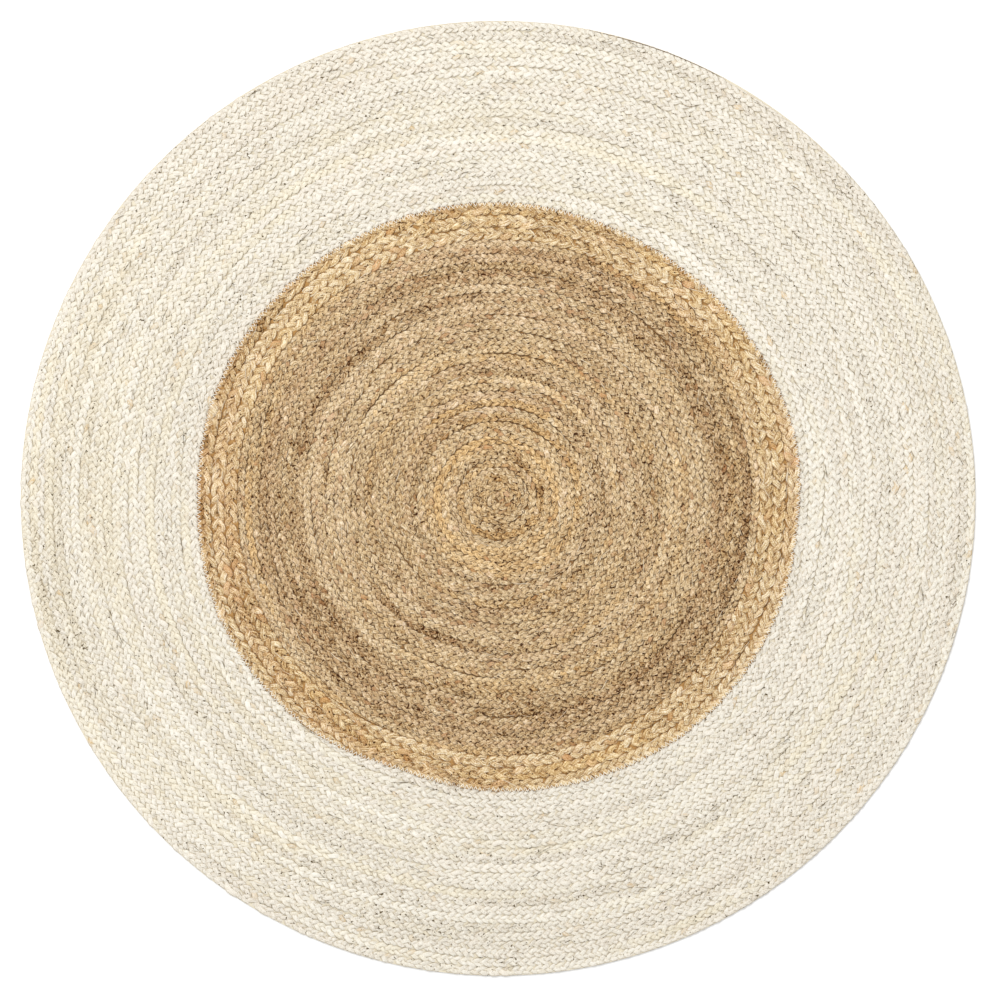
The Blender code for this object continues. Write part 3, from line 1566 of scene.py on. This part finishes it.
@dataclass
class RimShadowLine:
    """A dark line along the top edge of the rim, made as a thin fibre: a painted shadow."""

    start_degrees: float = 79.0
    end_degrees: float = 62.0
    inset: float = 0.0016
    waver: float = 0.0003
    waves: float = 23.0
    points: int = 120
    half_thickness: float = 0.00065
    lift: float = 0.3
    end_girth: float = 0.35
    tone: float = 0.05
    gold: float = 0.4
    painted_light: float = 0.5

    def make(
        self, beneath: list[bpy.types.Object], material: bpy.types.Material
    ) -> bpy.types.Object:
        """Lay the fibre on the rim.

        Args:
            beneath: the pieces that it lies on.
            material: the natural yarn's material.

        Returns:
            The fibre.
        """
        angle = np.radians(np.linspace(self.start_degrees, self.end_degrees, self.points))
        radius = RIM_RADIUS - self.inset + self.waver * np.sin(self.waves * angle)
        height = surface_height(beneath, angle, radius) + self.lift * self.half_thickness
        belly = np.sin(np.linspace(0.0, math.pi, self.points)) ** 0.5
        run = fibre_run(
            place=polar_places(angle, radius, height),
            girth=self.end_girth + (1.0 - self.end_girth) * belly,
            length=RIM_RADIUS * np.abs(angle - angle[0]),
            tone=self.tone,
            gold=self.gold,
            painted_light=self.painted_light,
        )
        return fibre_piece("rim_shadow_line", [run], self.half_thickness, material)


@dataclass
class ZigzagSewing:
    """The machine zigzag that sews the bleached braid to the golden one."""

    line: EdgeLine
    finish: ThreadFinish = ThreadFinish()
    inwards: float = 0.0068
    outwards: float = 0.0020
    leg: float = 0.0044
    points_per_leg: int = 3
    slip: float = 0.12
    stray: float = 0.0007
    thread: float = 0.00075
    lift: float = 0.4
    seed: int = 71

    def stitches(self) -> tuple[np.ndarray, np.ndarray]:
        """Lay the zigzag out over the line, a little unevenly.

        Returns:
            The angle and the radius of each point of the thread.
        """
        rng = np.random.default_rng(self.seed)
        legs = 2 * int(math.pi * self.line.radius / self.leg)
        step = np.arange(legs * self.points_per_leg) / self.points_per_leg
        sway = np.abs((step % 2.0) - 1.0)
        angle = math.tau * step / legs
        angle += self.slip * math.tau / legs * smooth_noise(rng, step, 1.0)
        reach = self.outwards - (self.inwards + self.outwards) * sway
        reach += self.stray * smooth_noise(rng, step, 2.0)
        return angle, self.line.at(angle) + reach

    def make(self, beneath: list[bpy.types.Object]) -> bpy.types.Object:
        """Sew the thread on top of the braids.

        Args:
            beneath: the pieces that the thread lies on.

        Returns:
            The thread, as one closed tube.
        """
        angle, radius = self.stitches()
        height = surface_height(beneath, angle, radius)
        between = 0.5 * (np.roll(height, 1) + np.roll(height, -1))
        height = np.maximum(height, between) + self.lift * self.thread
        curve = bpy.data.curves.new("sewing_thread", "CURVE")
        curve.dimensions = "3D"
        curve.bevel_depth = self.thread
        curve.bevel_resolution = 0
        add_line(curve, polar_places(angle, radius, height)).use_cyclic_u = True
        data = mesh_from_curve(curve)
        data.shade_smooth()
        data.materials.append(self.finish.material())
        piece = linked(data)
        settle(piece)
        return piece


@dataclass(frozen=True)
class Studio:
    """The floor, the light and the camera straight above."""

    picture_pixels: float = 1000.0
    rug_pixels: float = 953.8
    centre_pixel: tuple[float, float] = (498.1, 498.2)
    camera_height: float = 8.0
    sensor: float = 36.0
    farthest: float = 100.0
    floor_size: float = 60.0
    floor_drop: float = 0.0005
    floor_finish: FloorFinish = FloorFinish()
    fill_strength: float = 0.84
    softbox_size: float = 5.4
    softbox_watts: float = 420.0
    softbox_place: tuple[float, float, float] = (-2.4, 3.3, 7.5)

    def build(self) -> None:
        """Make everything round the rug."""
        self.floor()
        self.fill_light()
        self.softbox()
        self.camera()
        view = bpy.context.scene.view_settings
        view.view_transform = "Standard"
        view.look = "None"

    def floor(self) -> None:
        """Lay the plain pale floor."""
        mesh = bmesh.new()
        bmesh.ops.create_grid(mesh, x_segments=1, y_segments=1, size=self.floor_size / 2.0)
        data = mesh_data(mesh, "floor")
        data.materials.append(self.floor_finish.material())
        floor = linked(data)
        floor.location.z = -self.floor_drop

    def fill_light(self) -> None:
        """Fill with even light from all round."""
        world = bpy.data.worlds.new("studio")
        world.use_nodes = True
        sky = world.node_tree.nodes["Background"]
        sky.inputs["Color"].default_value = (*WHITE, 1.0)
        sky.inputs["Strength"].default_value = self.fill_strength
        bpy.context.scene.world = world

    def softbox(self) -> None:
        """Hang a broad soft light a little to the upper left."""
        lamp = bpy.data.lights.new("softbox", "AREA")
        lamp.shape = "DISK"
        lamp.size = self.softbox_size
        lamp.energy = self.softbox_watts
        holder = bpy.data.objects.new("softbox", lamp)
        holder.location = self.softbox_place
        holder.rotation_mode = "QUATERNION"
        holder.rotation_quaternion = (-holder.location).to_track_quat("-Z", "Y")
        bpy.context.scene.collection.objects.link(holder)

    def camera(self) -> None:
        """Hang the camera so that the rug fills the frame as in the photo."""
        metres_per_pixel = 2.0 * RIM_RADIUS / self.rug_pixels
        across = self.picture_pixels * metres_per_pixel
        data = bpy.data.cameras.new("camera")
        data.sensor_width = self.sensor
        data.lens = self.sensor * self.camera_height / across
        data.clip_end = self.farthest
        camera = bpy.data.objects.new("camera", data)
        middle = self.picture_pixels / 2.0
        camera.location = (
            (middle - self.centre_pixel[0]) * metres_per_pixel,
            (self.centre_pixel[1] - middle) * metres_per_pixel,
            self.camera_height,
        )
        bpy.context.scene.collection.objects.link(camera)
        bpy.context.scene.camera = camera


# Where a strand has its samples in each half period of its swing, in degrees.
FINE_PHASES = (2.0, 38.0, 78.0, 124.0)
BROAD_PHASES = (0.0, 28.0, 58.0, 92.0, 136.0)

NATURAL_FINISH = JuteFinish(
    jute=Jute.NATURAL,
    palette=(
        (0.0, srgb(116, 80, 42)),
        (0.25, srgb(158, 126, 84)),
        (0.5, srgb(197, 171, 131)),
        (0.75, srgb(221, 199, 163)),
        (1.0, srgb(243, 228, 201)),
    ),
    rosy=(1.0, 0.955, 0.95),
    gold=(1.08, 0.965, 0.78),
    warm=srgb(204, 158, 124),
    painted_crevice_shade=srgb(104, 74, 44),
    ground=srgb(184, 158, 128),
    pore_and_gap_shade=srgb(68, 36, 8),
    pore_level=0.398,
    streaks=1.8,
    grain=1.2,
)
GOLDEN_FINISH = JuteFinish(
    jute=Jute.GOLDEN,
    palette=(
        (0.0, srgb(146, 108, 60)),
        (0.25, srgb(184, 152, 106)),
        (0.5, srgb(209, 184, 141)),
        (0.75, srgb(224, 206, 170)),
        (1.0, srgb(242, 231, 208)),
    ),
    rosy=(1.0, 0.93, 0.88),
    gold=(1.04, 0.96, 0.79),
    warm=srgb(222, 178, 136),
    painted_crevice_shade=srgb(182, 140, 92),
    ground=srgb(212, 184, 146),
    pore_and_gap_shade=srgb(72, 42, 8),
    pore_level=0.44,
    streaks=2.6,
    grain=2.0,
    streak_scale=42.0,
    roughness=0.84,
)
BLEACHED_FINISH = JuteFinish(
    jute=Jute.BLEACHED,
    palette=(
        (0.0, srgb(184, 174, 156)),
        (0.25, srgb(208, 200, 186)),
        (0.5, srgb(223, 217, 204)),
        (0.75, srgb(231, 226, 214)),
        (1.0, srgb(238, 235, 225)),
    ),
    rosy=(1.0, 0.985, 0.975),
    gold=(1.0, 0.975, 0.90),
    warm=srgb(226, 198, 150),
    painted_crevice_shade=srgb(228, 216, 192),
    ground=srgb(251, 247, 236),
    pore_and_gap_shade=srgb(88, 72, 42),
    pore_level=0.462,
    streaks=1.5,
    grain=1.4,
)

FINE_NATURAL_BRAID = Braid(
    bump_length=0.0144,
    middle_height=0.0045,
    swing_height=0.0022,
    half_width_share=0.305,
    reach=1.34,
    side=1.36,
    half_thickness=0.0016,
    section=FINE_SECTION,
    half_period_phases=FINE_PHASES,
)
FINE_BLEACHED_BRAID = Braid(
    bump_length=0.0148,
    middle_height=0.0045,
    swing_height=0.0020,
    half_width_share=0.285,
    reach=1.31,
    side=1.34,
    half_thickness=0.0016,
    section=FINE_SECTION,
    half_period_phases=FINE_PHASES,
    dip_shade=0.04,
)
BROAD_BRAID = Braid(
    bump_length=0.0190,
    middle_height=0.0055,
    swing_height=0.0027,
    half_width_share=0.24,
    reach=1.18,
    side=1.20,
    half_thickness=0.0024,
    section=BROAD_SECTION,
    half_period_phases=BROAD_PHASES,
    crest_delay=0.3,
)

# Rings of yarn in the natural coil, with columns radius in metres and steps in tone and
# in gold, which is rosy below zero.
NATURAL_RINGS = (
    (0.0, -0.06, 0.20),
    (0.03, -0.02, 0.28),
    (0.08, 0.02, 0.25),
    (0.115, 0.03, 0.25),
    (0.14, 0.02, 0.20),
    (0.165, -0.05, -0.05),
    (0.19, 0.0, -0.10),
    (0.28, 0.0, 0.0),
    (0.295, -0.03, 0.0),
    (0.345, 0.05, -0.10),
    (0.37, 0.0, 0.0),
    (0.39, -0.06, -0.10),
    (0.42, -0.08, -0.20),
    (0.44, -0.10, -0.20),
    (0.47, -0.05, -0.15),
    (0.49, 0.0, 0.05),
    (0.50, 0.03, 0.10),
)

# Lighter and darker stretches, by the photo: middle in degrees and half arc, radius and
# half breadth in metres, steps in tone and in gold.
NATURAL_PATCHES = (
    Patch(20.0, 28.0, 0.476, 0.018, -0.09),
    Patch(135.0, 60.0, 0.476, 0.018, 0.07),
    Patch(330.0, 30.0, 0.476, 0.018, -0.10),
    Patch(20.0, 25.0, 0.414, 0.015, -0.05),
    Patch(112.0, 38.0, 0.414, 0.015, 0.08),
    Patch(285.0, 22.0, 0.414, 0.015, -0.03),
    Patch(45.0, 40.0, 0.384, 0.015, 0.05),
    Patch(135.0, 18.0, 0.384, 0.012, -0.08),
    Patch(212.0, 15.0, 0.384, 0.012, -0.07),
    Patch(230.0, 12.0, 0.322, 0.015, -0.07),
    Patch(135.0, 28.0, 0.276, 0.030, 0.04, 0.2),
    Patch(210.0, 15.0, 0.261, 0.018, -0.06),
    Patch(10.0, 28.0, 0.398, 0.014, 0.18, -0.1),
    Patch(330.0, 16.0, 0.398, 0.014, 0.06),
    Patch(318.0, 26.0, 0.365, 0.018, 0.13),
    Patch(120.0, 30.0, 0.365, 0.018, -0.04),
    Patch(60.0, 15.0, 0.365, 0.018, -0.05),
    Patch(30.0, 22.0, 0.288, 0.018, 0.06),
    Patch(325.0, 22.0, 0.288, 0.018, 0.04),
    Patch(190.0, 20.0, 0.288, 0.018, -0.03),
    Patch(240.0, 14.0, 0.250, 0.020, -0.07),
    Patch(110.0, 30.0, 0.250, 0.020, 0.04),
    Patch(258.0, 22.0, 0.210, 0.018, 0.06),
    Patch(10.0, 25.0, 0.170, 0.018, 0.06),
    Patch(225.0, 20.0, 0.170, 0.018, -0.03),
    Patch(140.0, 26.0, 0.430, 0.018, 0.11),
    Patch(300.0, 14.0, 0.427, 0.014, 0.08),
    Patch(225.0, 20.0, 0.427, 0.014, -0.06),
    Patch(60.0, 14.0, 0.427, 0.014, -0.05),
    Patch(200.0, 24.0, 0.483, 0.013, 0.12),
    Patch(30.0, 14.0, 0.483, 0.013, -0.06),
    Patch(300.0, 14.0, 0.483, 0.013, 0.05),
    Patch(275.0, 25.0, 0.169, 0.020, -0.05),
    Patch(180.0, 30.0, 0.020, 0.012, 0.12),
    Patch(60.0, 32.0, 0.222, 0.024, -0.06),
    Patch(270.0, 35.0, 0.250, 0.018, -0.05),
    Patch(30.0, 45.0, 0.325, 0.018, -0.05),
    Patch(195.0, 50.0, 0.398, 0.014, -0.05),
    Patch(105.0, 25.0, 0.456, 0.012, 0.05),
    Patch(50.0, 25.0, 0.169, 0.020, 0.04),
    Patch(285.0, 18.0, 0.130, 0.015, -0.09),
    Patch(50.0, 10.0, 0.077, 0.012, -0.14),
    Patch(262.0, 25.0, 0.066, 0.014, -0.09),
    Patch(210.0, 12.0, 0.046, 0.012, 0.10, 0.2),
    Patch(63.0, 6.0, 0.093, 0.007, -0.25),
    Patch(274.0, 9.0, 0.061, 0.007, -0.25),
    Patch(10.0, 4.0, 0.082, 0.006, -0.30),
    Patch(97.0, 9.0, 0.168, 0.005, 0.30, -0.3),
    Patch(54.6, 2.2, 0.179, 0.006, 0.35, -0.3),
)
GOLDEN_PATCHES = (
    Patch(145.0, 18.0, 0.507, 0.010, 0.08),
    Patch(322.0, 12.0, 0.507, 0.010, -0.12),
    Patch(188.0, 22.0, 0.507, 0.010, -0.07),
    Patch(225.0, 35.0, 0.524, 0.012, -0.09),
    Patch(55.0, 20.0, 0.524, 0.012, 0.09),
    Patch(120.0, 12.0, 0.541, 0.010, 0.10),
    Patch(65.0, 10.0, 0.541, 0.010, -0.08),
    Patch(60.0, 14.0, 0.518, 0.010, -0.08),
    Patch(150.0, 12.0, 0.518, 0.010, 0.07),
    Patch(180.0, 12.0, 0.518, 0.010, -0.08),
    Patch(345.0, 18.0, 0.518, 0.010, -0.05),
    Patch(240.0, 38.0, 0.533, 0.010, -0.14),
    Patch(75.0, 20.0, 0.515, 0.008, -0.10),
    Patch(210.0, 12.0, 0.518, 0.010, -0.08),
    Patch(75.0, 22.0, 0.549, 0.008, -0.07),
    Patch(135.0, 24.0, 0.549, 0.008, 0.11),
    Patch(345.0, 38.0, 0.515, 0.008, -0.10),
    Patch(182.0, 14.0, 0.533, 0.009, 0.10),
    Patch(330.0, 14.0, 0.545, 0.012, 0.07),
    Patch(30.0, 12.0, 0.549, 0.008, 0.07),
    Patch(180.0, 32.0, 0.570, 0.010, -0.14, -0.4),
    Patch(85.0, 60.0, 0.540, 0.040, 0.0, 0.25),
    Patch(185.0, 40.0, 0.520, 0.030, 0.0, -0.25),
    Patch(85.0, 35.0, 0.562, 0.008, -0.08, -0.3),
    Patch(162.2, 1.0, 0.571, 0.009, 0.50),
)
# Bleached stretches, with the same columns. The first two lighten the yarn at 155 and 8 degrees:
# painted light where the light falls brighter, and the second is also rosier. The others change
# the tone or the hue of the yarn.
BLEACHED_PATCHES = (
    Patch(155.0, 50.0, 0.800, 0.060, 0.06),
    Patch(8.0, 45.0, 0.740, 0.200, 0.05, -0.15),
    Patch(195.0, 45.0, 0.740, 0.200, 0.0, 0.20),
    Patch(40.0, 30.0, 0.625, 0.010, -0.06, 0.2),
    Patch(55.0, 22.0, 0.590, 0.012, 0.16),
    Patch(200.0, 60.0, 0.665, 0.010, -0.05, 0.2),
)

# The lines that the coils lie between, and the rim.
COLOUR_CHANGE = EdgeLine(COLOUR_CHANGE_RADIUS, wander_share=1.0)
GOLDEN_INNER = EdgeLine(COLOUR_CHANGE_RADIUS - GOLDEN_BAND_WIDTH, INNER_WANDER_SHARE)
RIM = EdgeLine(RIM_RADIUS)


def natural_coil() -> Coil:
    """Set out the fine natural coil in the middle."""
    return Coil(
        name="natural",
        node="natural_centre_coil",
        inner=None,
        outer=GOLDEN_INNER,
        winding=Winding(34.0, STEP_DEGREES, last_rings=8.0),
        braid=FINE_NATURAL_BRAID,
        finish=NATURAL_FINISH,
        parts=2,
        seed=11,
        shading=Shading(
            rings=NATURAL_RINGS,
            patches=NATURAL_PATCHES,
            tone_spread=0.045,
            yarn_spread=0.02,
            warm_level=1.1,
        ),
        ground_high=0.0036,
        jolt=0.045,
    )


def golden_coil() -> Coil:
    """Set out the three turns of broad golden braid."""
    return Coil(
        name="golden",
        node="golden_border_coil",
        inner=GOLDEN_INNER,
        outer=COLOUR_CHANGE,
        winding=Winding(3.0, STEP_DEGREES, first_rings=1000.0),
        braid=BROAD_BRAID,
        finish=GOLDEN_FINISH,
        parts=1,
        seed=23,
        shading=Shading(
            patches=GOLDEN_PATCHES,
            tone_spread=0.055,
            yarn_spread=0.03,
            braid_spread=0.03,
            warm_level=1.0,
        ),
        ground_high=0.0050,
    )


def bleached_coil() -> Coil:
    """Set out the fine bleached coil that ends in the rim."""
    return Coil(
        name="bleached",
        node="bleached_outer_coil",
        inner=COLOUR_CHANGE,
        outer=RIM,
        winding=Winding(21.5, STEP_DEGREES, first_rings=8.0, last_rings=8.0),
        braid=FINE_BLEACHED_BRAID,
        finish=BLEACHED_FINISH,
        parts=3,
        seed=37,
        shading=Shading(
            patches=BLEACHED_PATCHES,
            tone_spread=0.035,
            yarn_spread=0.02,
            braid_spread=0.07,
            gold_spread=0.26,
            warm_level=1.6,
        ),
        unevenness=0.12,
        ground_high=0.0042,
        rim_draw=-0.0010,
    )


def loose_fibres(natural: Coil, golden: Coil, bleached: Coil) -> list[LooseFibres]:
    """Set out the loose fibres, with the tones that they may have.

    Args:
        natural, golden, bleached: the coils that they lie on.

    Returns:
        The fibres of each coil.
    """
    return [
        LooseFibres(natural, count=520, tones=(-0.1, 0.1, 0.9, 1.1), seed=51),
        LooseFibres(
            golden, count=320, tones=(0.0, 0.2, 0.9, 1.1), longest=0.045, height=0.0102, seed=52
        ),
        LooseFibres(bleached, count=420, tones=(-0.2, 0.0, 1.0), seed=53),
    ]


def main() -> None:
    """Build the rug and the studio."""
    logging.basicConfig(level=logging.INFO, format="%(name)s: %(message)s")
    coils = (natural_coil(), golden_coil(), bleached_coil())
    made = {coil.name: coil.make() for coil in coils}
    yarn = {name: pieces[1].data.materials[0] for name, pieces in made.items()}
    for fibres in loose_fibres(*coils):
        fibres.make(yarn[fibres.coil.name])
    YarnTuft().make(yarn["golden"])
    # A painted shadow line along the rim's top edge.
    RimShadowLine().make(made["bleached"][1:], yarn["natural"])
    ZigzagSewing(COLOUR_CHANGE).make([made["golden"][1], made["bleached"][1]])
    Studio().build()
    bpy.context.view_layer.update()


if __name__ == "__main__":
    main()
